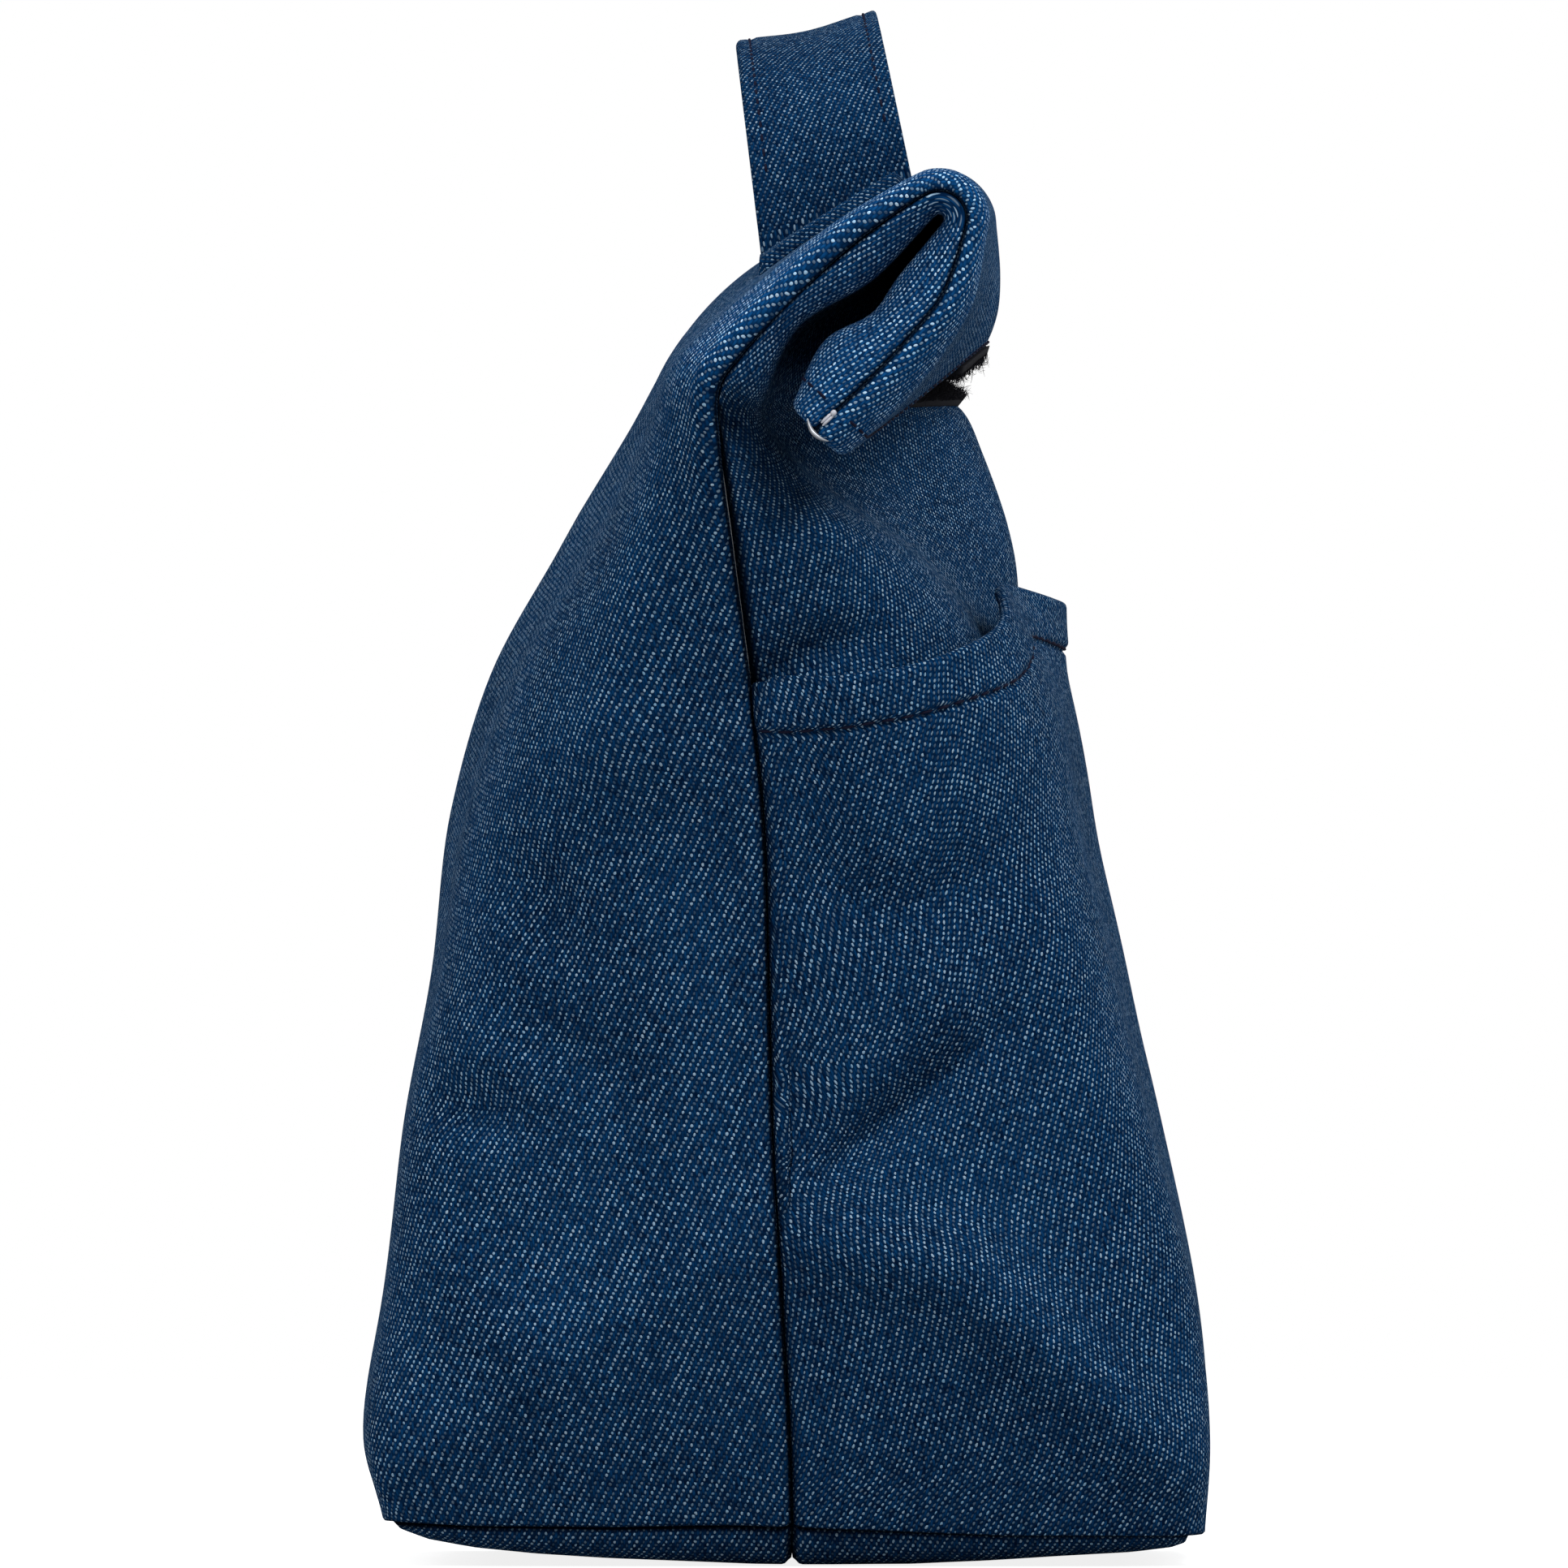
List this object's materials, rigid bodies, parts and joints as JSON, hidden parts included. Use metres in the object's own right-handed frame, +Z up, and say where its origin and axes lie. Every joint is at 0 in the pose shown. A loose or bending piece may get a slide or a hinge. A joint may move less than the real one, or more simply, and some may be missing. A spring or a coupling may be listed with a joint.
{
  "type": "cooler bag",
  "caption": "Padded denim lunch cooler bag with a boxed base, front pocket, folded-over top held by hook and loop tape, and a strap handle.",
  "frame": {"origin": "middle of the base on the floor it stands on", "axes": "+X across the width, -Y the front with the pocket and flap, +Z up"},
  "size_m": [0.296, 0.1502, 0.2751],
  "materials": {
    "denim": "indigo twill denim, dark warp with pale weft dots, matt",
    "strap": "indigo twill denim folded into a strap, edge stitched",
    "foam": "soft closed-cell insulation sheet",
    "lining": "pale silvery insulated lining film on cloth",
    "tape": "black woven nylon tape backing",
    "pile": "black hook and loop pile"
  },
  "bodies": {
    "bag_body": {"back_panel": "denim", "back_insulation": "foam", "back_lining": "lining", "front_panel": "denim", "front_insulation": "foam", "front_lining": "lining", "base_outer_back": "denim", "base_outer_front": "denim", "base_insulation": "foam", "base_lining": "lining", "front_pocket": "denim", "pocket_hem": "denim", "body_tape": "tape", "body_tape_pile": "pile", "handle_foot_left": "strap", "handle_foot_right": "strap"},
    "flap": {"fold_back_panel": "denim", "fold_back_insulation": "foam", "fold_back_lining": "lining", "fold_front_panel": "denim", "fold_front_insulation": "foam", "fold_front_lining": "lining", "flap_back_panel": "denim", "flap_back_insulation": "foam", "flap_back_lining": "lining", "flap_front_panel": "denim", "flap_front_insulation": "foam", "flap_front_lining": "lining", "flap_tape": "tape", "flap_tape_pile": "pile"},
    "handle": {"handle_strap": "strap", "handle_root_left": "strap", "handle_root_right": "strap"}
  },
  "joints": [
    {"name": "flap_fold", "type": "hinge", "parent": "bag_body", "child": "flap", "pos_m": [0, -0.03242, 0.24332], "axis": [-1, 0, 0], "range_deg": [0, 120], "deforming": ["fold_back_panel", "fold_back_insulation", "fold_back_lining", "fold_front_panel", "fold_front_insulation", "fold_front_lining"]},
    {"name": "handle_swing", "type": "hinge", "parent": "bag_body", "child": "handle", "pos_m": [0, -0.0087, 0.2383], "axis": [1, 0, 0], "range_deg": [-35, 20], "deforming": ["handle_root_left", "handle_root_right"]}
  ]
}
